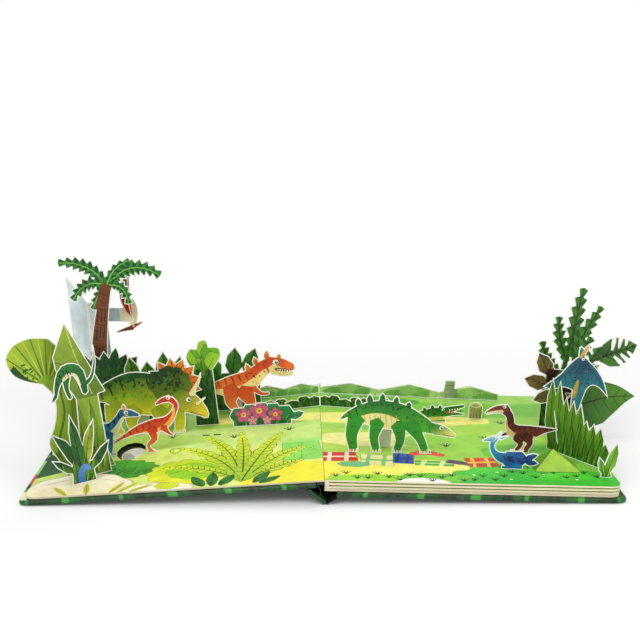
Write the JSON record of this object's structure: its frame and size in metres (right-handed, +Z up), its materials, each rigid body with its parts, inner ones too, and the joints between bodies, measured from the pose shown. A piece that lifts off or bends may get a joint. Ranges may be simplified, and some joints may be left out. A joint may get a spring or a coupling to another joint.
{
  "type": "pop up book",
  "caption": "Hardcover pop up book lying open, with standing die-cut paper dinosaurs, palm and leaves on a two page spread, a stack of thick leaves on the right and a hinged spine.",
  "frame": {"origin": "on the table, under the middle of the open book with its overhanging scenery", "axes": "+X across the spread from the front cover to the back cover, +Y away from the reader along the gutter, +Z up"},
  "size_m": [0.4794, 0.206, 0.1478],
  "materials": {
    "cover_board": "satin",
    "hinge_paper": "satin",
    "printed_page": "satin",
    "page_leaves": "satin",
    "printed_card": "satin",
    "plain_card": "matte"
  },
  "bodies": {
    "back": {"back_cover": "cover_board", "page_block": "page_leaves", "bush_strip": "printed_card", "backdrop_hills": "printed_card", "long_neck_dinosaur": "printed_card", "long_neck_strut": "plain_card", "crocodile": "printed_card", "stump": "printed_card", "hatchling": "printed_card", "maroon_theropod": "printed_card", "folded_foot": "printed_card", "grass_card": "printed_card", "grass_blade": "printed_card", "trunk_card": "printed_card", "broad_leaf": "printed_card", "monstera_spray": "printed_card", "monstera_strut": "plain_card", "teal_flyer": "printed_card", "flyer_strut": "plain_card"},
    "front": {"front_cover": "cover_board", "left_page": "printed_page", "palm_tree": "printed_card", "palm_back_support": "plain_card", "palm_bush": "printed_card", "leaf_row": "printed_card", "arch_leaves": "printed_card", "frill_leaf": "printed_card", "flower_bush": "printed_card", "horned_dinosaur": "printed_card", "horned_strut": "plain_card", "orange_theropod": "printed_card", "theropod_strut": "plain_card", "red_dinosaur": "printed_card", "blue_dinosaur": "printed_card", "pteranodon": "printed_card", "left_wing": "printed_card", "wing_strut": "plain_card", "kite_panel": "printed_card", "arched_dinosaur": "printed_card", "fern_cluster": "printed_card"},
    "spine": {"spine_board": "cover_board", "front_hinge_cloth": "hinge_paper", "back_hinge_cloth": "hinge_paper"}
  },
  "joints": [
    {"name": "front_cover_hinge", "type": "hinge", "parent": "back", "child": "front", "pos_m": [-0.01771, 0, 0.01888], "axis": [0, 1, 0], "range_deg": [0, 174.8], "deforming": ["palm_tree", "palm_back_support", "palm_bush", "leaf_row", "arch_leaves", "frill_leaf", "flower_bush", "horned_dinosaur", "horned_strut", "orange_theropod", "theropod_strut", "red_dinosaur", "blue_dinosaur", "pteranodon", "left_wing", "wing_strut", "kite_panel", "arched_dinosaur", "fern_cluster", "bush_strip", "backdrop_hills", "long_neck_dinosaur", "long_neck_strut", "crocodile", "stump", "hatchling", "maroon_theropod", "folded_foot", "grass_card", "grass_blade", "trunk_card", "broad_leaf", "monstera_spray", "monstera_strut", "teal_flyer", "flyer_strut", "front_hinge_cloth", "back_hinge_cloth"]},
    {"name": "spine_hinge", "type": "hinge", "parent": "back", "child": "spine", "pos_m": [-0.01196, 0, 0.00711], "axis": [0, 1, 0], "range_deg": [0, 52]}
  ],
  "couplings": [
    {"joint": "spine_hinge", "follows": "front_cover_hinge", "ratio": 0.295}
  ]
}
